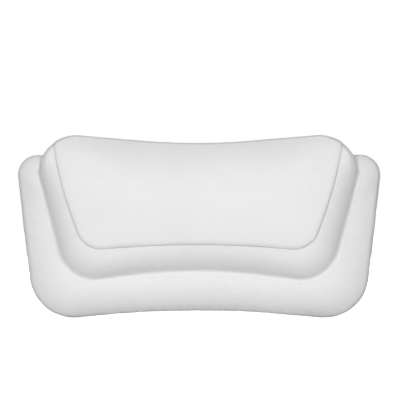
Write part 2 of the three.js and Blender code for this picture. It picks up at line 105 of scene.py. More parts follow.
# Rolled edges: the radius of the tight edge, the radius of the long curve from it to the front, and the
# tilt where the two meet. Behind its widest line an edge turns in by the back's sweep.
BACK_SWEEP = math.pi / 3
BASE_SIDE_TILT = math.radians(34)
BASE_SIDE_ROLL = (12.5 * MM, 75 * MM, BASE_SIDE_TILT)
BASE_FOOT_ROLL = (14 * MM, 37 * MM, math.radians(60))
BASE_TOP_ROLL = (8 * MM, 34 * MM, math.radians(45))
TOP_EDGE = 5 * MM
TOP_CURVE = 97 * MM
TOP_TILT = math.radians(35)

# Section of the headrest: its top is tucked in behind, its sides and foot stand on the base. A fillet's reach
# is the share of its radius that lies outside the outline. From the start of the top's share on, columns that
# face upwards have a section like the top's.
TOP_TUCK = 5 * MM
STAND_IN = 2.5 * MM
SIDE_FILLET = 11 * MM
FOOT_FILLET = 10 * MM
FILLET_SINK = 0.5 * MM
FILLET_FALL = 3.2 * MM
FILLET_REACH = 0.7
TOP_SHARE_START = 0.4
TOP_SHARE_RISE = 0.55
REST_GAP = 0.08 * MM
REST_SOFTNESS = 0.2 * MM
HEM_DEPTH = 1.5 * MM
SIDE_ROLL_PER_BORDER = 1.6
FOOT_ROLL = 29.4 * MM
LEAST_ROLL = 22 * MM
MOST_ROLL = 32 * MM
FACE_TILT_AT_SIDE = math.radians(9)
FACE_TILT_AT_FOOT = math.radians(13)
FREE_BELOW_TOP = 30 * MM
FREE_RISE = 30 * MM
SHOULDER_BELLY = 7 * MM

# The rear seam of the base. The cover is turned in behind it.
REAR_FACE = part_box("base_rear_panel")[1].y
PIPING_RADIUS = 2 * MM
PIPING_INSET = 7.8 * MM
PIPING_DEPTH = 0.8 * MM
RIM_DEPTH = 3.1 * MM
TURNED_IN = 2.5 * MM
TURNED_IN_DEPTH = 0.4 * MM
# Painted shade along the rear seam: its strength and how far it reaches.
RIM_PAINTED_SHADE = 0.6
RIM_PAINTED_SHADE_REACH = 1.5 * MM

# Rear panels: the base's is full between its rim and the eyelets, the upper one where it stands free.
PANEL_INSET = PIPING_INSET + 1 * MM
PANEL_DEPTH = 0.6 * MM
PANEL_FULLNESS = 1.6 * MM
EYELET_DIMPLE = 10 * MM
HOLE_MARGIN = 1.6 * MM
UPPER_FULLNESS = 2.2 * MM
UPPER_FADE = 12 * MM
UPPER_LEVEL = 0.4
# Painted shade along the upper panel's seam: its strength and how far it reaches.
UPPER_PAINTED_SHADE = 0.7
UPPER_PAINTED_SHADE_REACH = 1 * MM

# How the sewn seam draws the headrest's skins in, the share of that at their rear edge, and how far from that
# edge the skins lie calm.
REAR_SEAM_SHARE = 0.15
REAR_EDGE_CALM = 14 * MM
SEAM_SINK = 0.7 * MM
SEAM_LIP = 0.9 * MM
FACE_PROUD = 3 * MM
FACE_ROLL_AT_SIDE = 3.8 * MM
FACE_ROLL_AT_FOOT = 6.5 * MM
WELT_RADIUS = 0.9 * MM
WELT_SINK = 0.8 * MM

# Painted shade beside that seam: its strength, and how far it reaches over the two skins. The darkening is
# how strongly the vinyl takes up the painted shade of any seam.
SEAM_PAINTED_DARKENING = 0.8
SEAM_PAINTED_SHADE = 0.84
PAINTED_SHADE_ON_FACE = 1.7 * MM
PAINTED_SHADE_ON_BORDER = 0.45 * MM

# Suction sets: distances from the axis, and places along it from the bath's wall towards the pillow.
CUPS = 6
BORE_RADIUS = 5 * MM
BARREL_RADIUS = 6.6 * MM
FLANGE_RADIUS = 11 * MM
FLANGE_FACE = -17.3 * MM
FLANGE_BACK = -18.5 * MM
LIP_RADIUS = 8.5 * MM
LIP_NEAR = -22 * MM
LIP_FAR = -23 * MM
STUD_RADIUS = 4.4 * MM
STUD_HEAD_RADIUS = 8 * MM
STUD_HEAD_NEAR = -23.3 * MM
STUD_HEAD_FAR = -25.8 * MM
BARB_RADIUS = 5.6 * MM
BARB_START = -9.4 * MM
STUD_END = -7.4 * MM
CUP_RADIUS = 25 * MM
CUP_NECK_RADIUS = 9 * MM
CUP_HEIGHT = 14 * MM
CUP_NECK_FOOT = -8.7 * MM
CUP_LIP = 1.2 * MM
CUP_RIM_WIDTH = 3 * MM
CUP_BEVEL_WIDTH = 1 * MM
CUP_BEVEL_DEPTH = 0.5 * MM
CUP_HOLLOW = 5.5 * MM
SOCKET_END = -7.1 * MM
GAP = 0.3 * MM
TAB_WIDTH = 11 * MM
TAB_LENGTH = 7 * MM
TAB_THICKNESS = 1 * MM
RIDGES = (2.2 * MM, 4.2 * MM, 6.2 * MM)
RIDGE_WIDTH = 0.45 * MM
RIDGE_HEIGHT = 0.35 * MM

# Settling of the skins as cloth.
SETTLE_STEPS = 12
SETTLE_LIMIT = 1.2 * MM
FOAM_HOLD = 0.3
HELD_ROWS = 3
CLOTH = {
    "pin_stiffness": 2.0,
    "quality": 5,
    "mass": 0.05,
    "air_damping": 2.0,
    "tension_stiffness": 20,
    "compression_stiffness": 20,
    "shear_stiffness": 8,
    "bending_stiffness": 20,
    "shrink_min": -0.004,
    "use_pressure": True,
    "uniform_pressure_force": 0.05,
}

# Fineness of the meshes. Rings around a spine end just before it.
COLUMNS = 480
BACK_ROWS = 9
EDGE_ROWS = 7
CURVE_ROWS = 18
PLATEAU_ROWS = 12
BORDER_ROWS = 26
FACE_ROWS = 46
FACE_CROWDING = 1.6
SPINE_ROWS = 12
CORNER_STEPS = 48
SEAM_STEPS = 800
PANEL_RINGS = 48
UPPER_RINGS = 60
UPPER_CROWDING = 1.5
RINGS_END = 0.995
WELD_DISTANCE = 0.02 * MM
TINY = 1e-9

# Steps of a section of the headrest: the part behind the roll, the roll, and the way to the spine.
BEHIND_STEPS = 16
ARC_STEPS = 32
FRONT_STEPS = 32


# Outlines, as points (x, z)

def corner_curve(before, corner, after, reach, steps=CORNER_STEPS):
    """Points of the arc that rounds a corner and starts and ends `reach` along its two edges."""
    back = (before - corner) / np.linalg.norm(before - corner)
    onward = (after - corner) / np.linalg.norm(after - corner)
    turn = math.pi - math.acos(np.clip(back @ onward, -1, 1))
    handle = 1 - 2 / 3 * (1 - math.tan(turn / 4) ** 2)
    share = np.linspace(0, 1, steps)[:, None]
    return (
        (1 - share) ** 3 * (corner + back * reach)
        + 3 * (1 - share) ** 2 * share * (corner + back * reach * handle)
        + 3 * (1 - share) * share**2 * (corner + onward * reach * handle)
        + share**3 * (corner + onward * reach)
    )


def rounded_outline(bottom, *right, top=(), count=COLUMNS):
    """Points at equal steps around an outline that is alike left and right, from the middle of its bottom on.
    Its corners are rounded. One without a reach takes all that its neighbours leave of its edges."""
    left = [(-x, z, reach) for x, z, reach in reversed(right)]
    corners = [bottom, *right, *top, *left]
    points = [np.array(corner[:2]) for corner in corners]
    curves = []
    for i, corner in enumerate(corners):
        following = (i + 1) % len(corners)
        if len(corner) == 3:
            reach = corner[2]
        else:
            reach = np.linalg.norm(points[following] - points[i]) - corners[following][2]
        curves.append(corner_curve(points[i - 1], points[i], points[following], reach))
    path = np.concatenate([*curves, curves[0][:1]])
    length = np.concatenate([[0], np.cumsum(np.linalg.norm(np.diff(path, axis=0), axis=1))])
    start = np.interp(CORNER_STEPS / 2 - 0.5, np.arange(len(path)), length)
    places = (start + length[-1] * np.arange(count) / count) % length[-1]
    return np.stack([np.interp(places, length, path[:, axis]) for axis in (0, 1)], axis=1)


def square_inwards(outline):
    """For each point of an outline, the way inwards that is square to it."""
    along = np.roll(outline, -1, axis=0) - np.roll(outline, 1, axis=0)
    along /= np.linalg.norm(along, axis=1)[:, None]
    return np.stack([-along[:, 1], along[:, 0]], axis=1)


def inset_outline(outline, distance):
    return outline + distance * square_inwards(outline)


def evened(values, reach=28):
    """Values around a closed outline, each averaged with those of the columns beside it."""
    window = np.hanning(2 * reach + 1)
    around = np.concatenate([values[-reach:], values, values[:reach]])
    return np.convolve(around, window / window.sum(), mode="valid")


def within(points, outline):
    """For each point, whether it lies inside a closed outline."""
    x, z = points[:, 0, None], points[:, 1, None]
    start, end = outline, np.roll(outline, -1, axis=0)
    straddles = (start[:, 1] > z) != (end[:, 1] > z)
    rise = np.where(end[:, 1] == start[:, 1], 1, end[:, 1] - start[:, 1])
    crossing = start[:, 0] + (z - start[:, 1]) / rise * (end[:, 0] - start[:, 0])
    return np.sum(straddles & (x < crossing), axis=1) % 2 == 1


# Shapes in space

def distance_to(points, path):
    """For each point, the distance to the nearest point of a finely stepped path."""
    nearest = np.empty(len(points))
    block_size = 2000
    for first in range(0, len(points), block_size):
        block = points[first:first + block_size]
        nearest[first:first + block_size] = np.linalg.norm(block[:, None] - path[None], axis=2).min(axis=1)
    return nearest


def waves(points, wavelength, seed, count=7):
    """A smooth uneven swell from about -1 to 1 over points, the same at each run."""
    chance = np.random.default_rng(seed)
    swell = np.zeros(len(points))
    for _ in range(count):
        heading = chance.normal(size=points.shape[1])
        heading /= np.linalg.norm(heading)
        stretch = chance.uniform(0.75, 1.4)
        phase = chance.uniform(0, 2 * math.pi)
        swell += np.sin(points @ heading * 2 * math.pi / (wavelength * stretch) + phase)
    return swell / math.sqrt(count)


def puckers(points, from_seam, height, reach, wavelength, seed):
    """Small folds at points beside a seam, which fade with the distance from it."""
    return height * np.exp(-from_seam / reach) * waves(points, wavelength, seed)


def soft_edge(distance, width):
    """Rises from 0 at an edge to 1 at `width` from it, like a rounded shoulder."""
    share = np.clip(distance / width, 0, 1)
    return np.sqrt(1 - (1 - share) ** 2)


def between(start, end, share):
    """What lies a share of the way from a start to an end."""
    return start + (end - start) * share


def soft_step(share):
    """Goes smoothly from 0 to 1 while its share does."""
    share = np.clip(share, 0, 1)
    return share * share * (3 - 2 * share)


def rolled(edge, curve, tilt, edge_steps, curve_steps):
    """Insets and depths of a rolled edge from its widest line to the flat front, without its first point."""
    inset, depth = [], []
    for share in np.linspace(0, 1, edge_steps + 1)[1:]:
        here = between(math.pi / 2, tilt, share)
        inset.append(edge * (1 - np.sin(here)))
        depth.append(edge * np.cos(here))
    for share in np.linspace(1, 0, curve_steps + 1)[1:]:
        inset.append(edge * (1 - np.sin(tilt)) + curve * (np.sin(tilt) - np.sin(tilt * share)))
        depth.append(edge * np.cos(tilt) + curve * (np.cos(tilt * share) - np.cos(tilt)))
    return np.array(inset), np.array(depth)


def placed(flat, depth):
    """Points in space from points (x, z) at depths forwards from the base's rear face."""
    level = np.broadcast_to(REAR_FACE - depth, flat.shape[:-1])
    return np.stack([flat[..., 0], level, flat[..., 1]], axis=-1)


def grid_normals(grid):
    """Outward normals of a grid whose rows follow from back to front and close on themselves."""
    along = np.roll(grid, -1, axis=1) - np.roll(grid, 1, axis=1)
    forward = np.gradient(grid, axis=0)
    normals = np.cross(along, forward)
    length = np.linalg.norm(normals, axis=2)
    straight = np.array([0.0, -1.0, 0.0])
    return np.where(length[..., None] > TINY, normals / np.maximum(length, TINY)[..., None], straight)


def grid_faces(rows, columns, keep=None):
    """Quads of a grid whose rows close on themselves, or those of them that `keep` marks."""
    faces = []
    for row in range(rows - 1):
        for column in range(columns):
            if keep is None or keep[row, column]:
                onward = (column + 1) % columns
                low, high = row * columns, (row + 1) * columns
                faces.append((low + column, low + onward, high + onward, high + column))
    return faces


def fan(middle, ring):
    """Triangles from a middle point to a closed ring of points."""
    ring = list(ring)
    return [(middle, point, onward) for point, onward in zip(ring, ring[1:] + ring[:1])]


def new_object(name, data):
    """An object in the scene with a mesh, a lamp or a camera."""
    made = bpy.data.objects.new(name, data)
    bpy.context.collection.objects.link(made)
    return made


def new_piece(name, points, faces, material, body="pillow", **marks):
    """A smooth mesh piece that rides on a body, without the points that no face uses. A mark keeps a number
    for each point."""
    used = sorted({corner for face in faces for corner in face})
    place = {corner: i for i, corner in enumerate(used)}
    mesh = bpy.data.meshes.new(name)
    mesh.from_pydata(points[used].tolist(), [], [[place[corner] for corner in face] for face in faces])
    mesh.validate()
    mesh.shade_smooth()
    mesh.materials.append(material)
    for mark, values in marks.items():
        attribute = mesh.attributes.new(mark, "FLOAT", "POINT")
        attribute.data.foreach_set("value", np.asarray(values, dtype=np.float32)[used])
    piece = new_object(name, mesh)
    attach(piece, body)
    return piece


def weld(piece, crisp=None):
    """Joins points that lie at one place, turns all faces outwards, and keeps edges over an angle crisp."""
    mesh = bmesh.new()
    mesh.from_mesh(piece.data)
    bmesh.ops.remove_doubles(mesh, verts=mesh.verts, dist=WELD_DISTANCE)
    bmesh.ops.recalc_face_normals(mesh, faces=mesh.faces)
    mesh.to_mesh(piece.data)
    mesh.free()
    piece.data.shade_smooth()
    if crisp is not None:
        piece.data.set_sharp_from_angle(angle=math.radians(crisp))


def grid_piece(name, grid, material, body="pillow", crisp=None):
    """A welded piece over a grid whose rows close on themselves."""
    piece = new_piece(name, grid.reshape(-1, 3), grid_faces(*grid.shape[:2]), material, body)
    weld(piece, crisp)
    return piece


def settle(piece):
    """Lets a skin settle as slightly slack cloth that its foam presses out. Each point's "hold" is 1 where
    it is sewn fast, and less where only the foam holds it."""
    hold = np.empty(len(piece.data.vertices), dtype=np.float32)
    piece.data.attributes["hold"].data.foreach_get("value", hold)
    piece.data.attributes.remove(piece.data.attributes["hold"])
    group = piece.vertex_groups.new(name="held")
    for level in np.unique(hold):
        group.add(np.flatnonzero(hold == level).tolist(), float(level), "REPLACE")
    cloth = piece.modifiers.new("settling", "CLOTH")
    cloth.settings.vertex_group_mass = group.name
    for name, value in CLOTH.items():
        setattr(cloth.settings, name, value)
    cloth.settings.effector_weights.gravity = 0
    cloth.collision_settings.use_collision = False
    for step in range(1, SETTLE_STEPS + 1):
        bpy.context.scene.frame_set(step)
    before = read_points(piece.data)
    after = read_points(piece.evaluated_get(bpy.context.evaluated_depsgraph_get()).data)
    piece.modifiers.remove(cloth)
    piece.vertex_groups.remove(group)
    bpy.context.scene.frame_set(1)
    moved = after - before
    length = np.maximum(np.linalg.norm(moved, axis=1), TINY)
    held_back = SETTLE_LIMIT * np.tanh(length / SETTLE_LIMIT) / length
    piece.data.vertices.foreach_set("co", (before + moved * held_back[:, None]).ravel())
    piece.data.update()


def resting_on(piece, points):
    """Points moved forwards where they would touch a piece, until they lie just in front of its surface."""
    faces = [list(face.vertices) for face in piece.data.polygons]
    surface = BVHTree.FromPolygons(read_points(piece.data).tolist(), faces)
    rested = points.copy()
    well_in_front = -1.0
    backwards = Vector((0, 1, 0))
    for i, (x, y, z) in enumerate(points):
        met = surface.ray_cast(Vector((x, well_in_front, z)), backwards)[0]
        if met is not None:
            clear = met.y - REST_GAP - y
            rested[i, 1] -= (math.hypot(clear, REST_SOFTNESS) - clear) / 2
    return rested


def read_points(mesh):
    points = np.empty(len(mesh.vertices) * 3)
    mesh.vertices.foreach_get("co", points)
    return points.reshape(-1, 3)


# Materials

def new_material(name):
    """A material, its node tree and its principled surface."""
    material = bpy.data.materials.new(name)
    material.use_nodes = True
    return material, material.node_tree, material.node_tree.nodes["Principled BSDF"]


def feed(tree, node, inputs):
    """Sets inputs of a node, each to a plain value or to the output of another node."""
    for name, value in inputs.items():
        if isinstance(value, bpy.types.NodeSocket):
            tree.links.new(value, node.inputs[name])
        else:
            node.inputs[name].default_value = value


def new_node(tree, kind, output, inputs, **settings):
    """An output of a new node, after its settings and inputs are set."""
    node = tree.nodes.new(f"ShaderNode{kind}")
    for name, value in settings.items():
        setattr(node, name, value)
    feed(tree, node, inputs)
    return node.outputs[output]


def place_on(tree):
    """Places in the coordinates of the object itself."""
    return new_node(tree, "TexCoord", "Object", {})


def noise(tree, place, scale, detail=3.0):
    inputs = {"Vector": place, "Scale": scale, "Detail": detail, "Roughness": 0.55}
    return new_node(tree, "TexNoise", "Fac", inputs)


def ranged(tree, value, low, high):
    """A value from 0 to 1 spread over a range."""
    return new_node(tree, "MapRange", "Result", {"Value": value, "To Min": low, "To Max": high})


def bumped(tree, height, distance, strength, normal=None):
    inputs = {"Height": height, "Distance": distance, "Strength": strength}
    if normal is not None:
        inputs["Normal"] = normal
    return new_node(tree, "Bump", "Normal", inputs)


def toned(tree, value, dark, light):
    """A colour between two, by a value from 0 to 1."""
    ramp = tree.nodes.new("ShaderNodeValToRGB")
    ramp.color_ramp.elements[0].color = (*dark, 1)
    ramp.color_ramp.elements[1].color = (*light, 1)
    tree.links.new(value, ramp.inputs["Fac"])
    return ramp.outputs["Color"]


def vinyl_material(name, dark, light, grain=0.35):
    """Soft matt vinyl between two greys: fine pebbled grain, faint creases, and painted shade along the
    seams.
    """
    material, tree, surface = new_material(name)
    place = place_on(tree)
    cells = new_node(tree, "TexVoronoi", "Distance", {"Vector": place, "Scale": 1100})
    creases = noise(tree, place, scale=90, detail=4)
    # The "seam" attribute holds painted shade beside seams, which darkens the colour.
    seam = new_node(tree, "Attribute", "Fac", {}, attribute_name="seam")
    cloudy = ranged(tree, noise(tree, place, scale=14), low=0.8, high=1.0)
    terms = {0: seam, 1: -SEAM_PAINTED_DARKENING, 2: cloudy}
    shade = new_node(tree, "Math", "Value", terms, operation="MULTIPLY_ADD")
    fine = bumped(tree, cells, distance=0.12 * MM, strength=grain)
    look = {
        "Base Color": toned(tree, shade, [dark] * 3, [light] * 3),
        "Roughness": ranged(tree, creases, low=0.55, high=0.7),
        "Specular IOR Level": 0.15,
        "Normal": bumped(tree, creases, distance=0.5 * MM, strength=0.12, normal=fine),
    }
    feed(tree, surface, look)
    return material


def moulded_material(name, scale, colours, roughness, bump):
    """Moulded plastic with one noise in its colours, its roughness and its bump of a depth and strength."""
    material, tree, surface = new_material(name)
    flow = noise(tree, place_on(tree), scale)
    look = {
        "Base Color": toned(tree, flow, *colours),
        "Roughness": ranged(tree, flow, *roughness),
        "Normal": bumped(tree, flow, *bump),
    }
    feed(tree, surface, look)
    return material, surface


def nylon_material():
    """Moulded white nylon with a faint flow texture."""
    material, _ = moulded_material(
        "moulded_nylon",
        scale=420,
        colours=((0.72, 0.72, 0.70), (0.80, 0.80, 0.78)),
        roughness=(0.28, 0.42),
        bump=(0.06 * MM, 0.3),
    )
    return material


def cup_material():
    """Clear soft plastic, a little cloudy."""
    material, surface = moulded_material(
        "clear_soft_plastic",
        scale=160,
        colours=((0.90, 0.93, 0.94), (0.96, 0.975, 0.98)),
        roughness=(0.06, 0.16),
        bump=(0.08 * MM, 0.25),
    )
    surface.inputs["Transmission Weight"].default_value = 0.95
    surface.inputs["IOR"].default_value = 1.5
    return material


# Base cushion and rear panels

base_outline = rounded_outline(
    (0, BASE_FOOT + BASE_BOTTOM_RISE, BASE_BOTTOM_ARCH),
    (BASE_BOTTOM_WIDTH / 2, BASE_FOOT, BASE_BOTTOM_CORNER),
    (BASE_TOP_WIDTH / 2, BASE_TOP, BASE_TOP_CORNER),
    top=[(0, BASE_TOP - BASE_TOP_FALL)],
)


def drawn_inwards(outline, half, height):
    """For each point of an outline, the way to the cushion's level spine and how far it is."""
    spine = np.stack([np.clip(outline[:, 0], -half, half), np.full(len(outline), height)], axis=1)
    reach = np.linalg.norm(spine - outline, axis=1)
    return (spine - outline) / reach[:, None], reach


def base_grid():
    """The base's skin: from the rear seam round its widest line and over the rolled edge to its front."""
    inward, _ = drawn_inwards(base_outline, BASE_SPINE_HALF, BASE_SPINE)
    at_foot = evened(np.clip(inward[:, 1], 0, 1) ** 2)
    at_top = evened(soft_step(-square_inwards(base_outline)[:, 1]))
    at_side = 1 - at_foot - at_top
    rolls = zip(BASE_SIDE_ROLL, BASE_FOOT_ROLL, BASE_TOP_ROLL)
    edge, curve, tilt = (side * at_side + foot * at_foot + top * at_top for side, foot, top in rolls)
    insets, depths = rolled(edge, curve, tilt, EDGE_ROWS, CURVE_ROWS)
    insets = insets / evened(np.sum(inward * square_inwards(base_outline), axis=1))
    belly = BASE_THICKNESS - depths[-1]
    back_depth = (belly - RIM_DEPTH) / math.sin(BACK_SWEEP)
    turned_in = inset_outline(base_outline, BASE_DRAW_IN + TURNED_IN)
    rows = [placed(turned_in, PIPING_DEPTH + TURNED_IN_DEPTH)]
    for share in np.linspace(1, 0, BACK_ROWS):
        drawn = BASE_DRAW_IN * (1 - math.cos(BACK_SWEEP * share)) / (1 - math.cos(BACK_SWEEP))
        depth = belly - back_depth * math.sin(BACK_SWEEP * share)
        rows.append(placed(inset_outline(base_outline, drawn), depth))
    for inset, depth in zip(insets, depths):
        rows.append(placed(base_outline + inward * inset[:, None], belly + depth))
    for share in np.linspace(0, 1, PLATEAU_ROWS + 1)[1:]:
        drawn = base_outline + inward * (insets[-1] + BASE_PLATEAU * share)[:, None]
        rows.append(placed(drawn, BASE_THICKNESS))
    return np.stack(rows)


def base_front(flat):
    """Depth of the base's front at points (x, z) above its foot's roll."""
    insets, depths = rolled(*BASE_SIDE_ROLL, EDGE_ROWS, CURVE_ROWS)
    return BASE_THICKNESS - depths[-1] + np.interp(distance_to(flat, base_outline), insets, depths)


def make_base(vinyl):
    """The base's skin, uneven and puckered at its rear seam, closed in front and behind by fans."""
    grid = base_grid()
    normals = grid_normals(grid).reshape(-1, 3)
    points = grid.reshape(-1, 3)
    from_rim = distance_to(points, grid[1])
    folds = puckers(points, from_rim, height=0.35 * MM, reach=9 * MM, wavelength=15 * MM, seed=5)
    lumps = 0.35 * MM * waves(points, wavelength=95 * MM, seed=3)
    points = points + normals * (folds + lumps)[:, None]
    hold = np.full(grid.shape[:2], FOAM_HOLD)
    hold[:HELD_ROWS] = 1
    hold[-PLATEAU_ROWS:] = 1
    front, back = len(points), len(points) + 1
    faces = grid_faces(*grid.shape[:2])
    faces += fan(front, range(front - COLUMNS, front))
    faces += fan(back, reversed(range(COLUMNS)))
    middles = [points[-COLUMNS:].mean(axis=0), points[:COLUMNS].mean(axis=0)]
    # Painted shade along the rear seam, kept in the seam mark.
    shade = np.append(RIM_PAINTED_SHADE * np.exp(-from_rim / RIM_PAINTED_SHADE_REACH), [0, 0])
    hold = np.append(hold, [1, 1])
    points = np.concatenate([points, middles])
    piece = new_piece("base_cover", points, faces, vinyl, seam=shade, hold=hold)
    settle(piece)
    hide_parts("base_front_cover", "base_foam_core")
    return piece


def make_piping(vinyl):
    """The cord in the rear seam of the base."""
    sides = 14
    rows = []
    for turn in np.linspace(0, 2 * math.pi, sides, endpoint=False):
        outline = inset_outline(base_outline, PIPING_INSET - PIPING_RADIUS * math.cos(turn))
        rows.append(placed(outline, PIPING_DEPTH + PIPING_RADIUS * math.sin(turn)))
    piece = grid_piece("base_piping", np.stack([*rows, rows[0]]), vinyl)
    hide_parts("base_edge_piping")


def rear_panel(outline, half, height, shares):
    """Points (x, z) in rings at shares of the way from an outline to a cushion's spine, and the faces between
    them, which face backwards."""
    inward, reach = drawn_inwards(outline, half, height)
    rings = [outline + inward * (reach * share)[:, None] for share in shares]
    flat = np.concatenate(rings)
    faces = grid_faces(len(rings), COLUMNS)
    faces.append(tuple(range(len(flat) - COLUMNS, len(flat))))
    return flat, [tuple(reversed(face)) for face in faces]


def make_base_back(backing, centres):
    """The base's rear panel: drawn in at the piping and the eyelets, and a little full between them."""
    outline = inset_outline(base_outline, PANEL_INSET)
    shares = np.linspace(0, RINGS_END, PANEL_RINGS)
    flat, faces = rear_panel(outline, BASE_SPINE_HALF, BASE_SPINE, shares)
    from_rim = distance_to(flat, outline)
    from_dimple = distance_to(flat, centres) - EYELET_DIMPLE
    fullness = PANEL_FULLNESS * soft_edge(from_rim, width=30 * MM) * soft_edge(from_dimple, width=26 * MM)
    folds = puckers(flat, from_rim, height=0.25 * MM, reach=12 * MM, wavelength=14 * MM, seed=9)
    points = placed(flat, PANEL_DEPTH - fullness + folds)
    middles = np.array([flat[list(face)].mean(axis=0) for face in faces])
    is_open = distance_to(middles, centres) < BARREL_RADIUS + HOLE_MARGIN
    faces = [face for face, left_out in zip(faces, is_open) if not left_out]
    piece = new_piece("base_back", points, faces, backing)
    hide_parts("base_rear_panel")


# Headrest

headrest_outline = rounded_outline(
    (0, HEADREST_FOOT + HEADREST_BOTTOM_RISE, HEADREST_BOTTOM_ARCH),
    (HEADREST_BOTTOM_WIDTH / 2, HEADREST_FOOT, HEADREST_BOTTOM_CORNER),
    (HEADREST_TOP_WIDTH / 2, HEADREST_TOP, HEADREST_TOP_CORNER),
    top=[(0, HEADREST_TOP - HEADREST_TOP_FALL, HEADREST_TOP_ARCH)],
)
seam_outline = rounded_outline(
    (0, HEADREST_FOOT + HEADREST_BOTTOM_RISE + BORDER_UNDER_MIDDLE),
    (SEAM_HALF_AT_FOOT, HEADREST_FOOT + BORDER_UNDER_CORNER, SEAM_FOOT_CORNER),
    (SEAM_HALF_AT_TOP, SEAM_SHOULDER, SEAM_SHOULDER_ROUND),
    (SEAM_HALF_AT_TOP, SEAM_CLOSING, SEAM_CLOSING_CORNER),
    count=SEAM_STEPS,
)

# How far each column of the headrest belongs to its foot, and how free of the base it is.
foot_share = evened(soft_step(square_inwards(headrest_outline)[:, 1]))
free_share = soft_step((headrest_outline[:, 1] - BASE_TOP + FREE_BELOW_TOP) / FREE_RISE)


def spine_way():
    """For each column, the way to the headrest's spine and how far it is. Columns of the foot and the top
    that face each other meet at one point of the spine."""
    turn = np.arange(COLUMNS) / COLUMNS
    half_turn, eighth_turn = 1 / 2, 1 / 8
    from_middle = np.minimum(turn % half_turn, half_turn - turn % half_turn)
    across = np.clip(from_middle / eighth_turn, 0, 1)
    across = np.where(turn < half_turn, across, -across)
    spine = np.stack([HEADREST_SPINE_HALF * across, np.full(COLUMNS, HEADREST_SPINE)], axis=1)
    reach = np.linalg.norm(spine - headrest_outline, axis=1)
    return (spine - headrest_outline) / reach[:, None], reach


def border_width(inward):
    """For each column, how far inwards from the outline the seam lies, or 0 between the seam's ends."""
    width = np.zeros(COLUMNS)
    start, end = seam_outline, np.roll(seam_outline, -1, axis=0)
    edge = end - start
    least_cross = 1e-12
    for column in np.flatnonzero(~within(headrest_outline, seam_outline)):
        point, way = headrest_outline[column], inward[column]
        cross = way[0] * edge[:, 1] - way[1] * edge[:, 0]
        cross = np.where(np.abs(cross) < least_cross, least_cross, cross)
        offset = start - point
        far = (offset[:, 0] * edge[:, 1] - offset[:, 1] * edge[:, 0]) / cross
        share = (offset[:, 0] * way[1] - offset[:, 1] * way[0]) / cross
        met = far[(share >= 0) & (share <= 1) & (far > 0)]
        width[column] = met.min() if len(met) else 0
    return width


def foot_section(roll, fillet, stand_in, end, end_tilt):
    """Insets and depths of the sections at the sides and the foot: a hollow fillet that leaves the base at
    its own slope, then an even curve to a depth and tilt of the face. The steepest tilt, where they meet, is
    found step by step from a first guess. Also gives back the depths at which the fillets start."""
    overhang = fillet * FILLET_REACH - stand_in
    edge = headrest_outline - square_inwards(headrest_outline) * overhang[:, None]
    rest = evened(np.maximum(base_front(edge), BASE_THICKNESS - FILLET_FALL))
    start = rest - HEADREST_BACK - FILLET_SINK
    slope = (BASE_THICKNESS - rest) / FILLET_FALL * BASE_SIDE_TILT / 2
    run = roll - stand_in
    first_guess = math.pi / 3
    tries = 12
    steepest = np.full(COLUMNS, first_guess)
    for _ in range(tries):
        fillet_rise = fillet * (np.cos(slope) - np.cos(steepest))
        steepest = 2 * np.arctan((end - start - fillet_rise) / run) - end_tilt
    radius = run / (np.sin(steepest) - np.sin(end_tilt))
    inset, depth = [], []
    for share in np.linspace(0, 1, BEHIND_STEPS):
        tilt = between(slope, steepest, share)
        inset.append(fillet * (np.sin(tilt) - np.sin(steepest)))
        depth.append(start + fillet * (np.cos(slope) - np.cos(tilt)))
    for share in np.linspace(1, 0, ARC_STEPS + 1)[1:]:
        tilt = between(end_tilt, steepest, share)
        inset.append(radius * (np.sin(steepest) - np.sin(tilt)))
        depth.append(end - radius * (np.cos(end_tilt) - np.cos(tilt)))
    return stand_in + np.stack(inset), np.stack(depth), start


def top_section():
    """Insets and depths of the section at the top before its fall: out from the tucked rear edge, round a
    tight edge, and level from there."""
    edge_steps = ARC_STEPS // 3
    front_inset, front_depth = rolled(TOP_EDGE, TOP_CURVE, TOP_TILT, edge_steps, ARC_STEPS - edge_steps)
    belly = HEADREST_DEPTH - front_depth[-1]
    swell = HEADREST_DEPTH / (belly + front_depth[edge_steps - 1])
    turn = BACK_SWEEP * np.linspace(1, 0, BEHIND_STEPS)
    inset = np.concatenate([TOP_TUCK * (1 - np.cos(turn)) / (1 - math.cos(BACK_SWEEP)), front_inset])
    depth = np.concatenate([belly * (1 - np.sin(turn) / math.sin(BACK_SWEEP)), belly + front_depth]) * swell
    return inset[:, None], np.minimum(depth, HEADREST_DEPTH)[:, None]


def fall_to_top(flat):
    """Share of the headrest's full depth left at points (x, z), by how far they are below its top edge."""
    is_top = headrest_outline[:, 1] > HEADREST_TOP - HEADREST_TOP_FALL
    half = headrest_outline[is_top & (headrest_outline[:, 0] > 0)]
    peak = np.argmax(half[:, 1])
    top = np.interp(np.abs(flat[..., 0]), half[peak:, 0][::-1], half[peak:, 1][::-1])
    below = np.maximum(top - flat[..., 1] - TOP_EDGE * (1 - math.sin(TOP_TILT)), 0)
    sine = np.clip(math.sin(TOP_TILT) - below / TOP_CURVE, 0, 1)
    return 1 - TOP_CURVE * (1 - np.sqrt(1 - sine**2)) / HEADREST_DEPTH


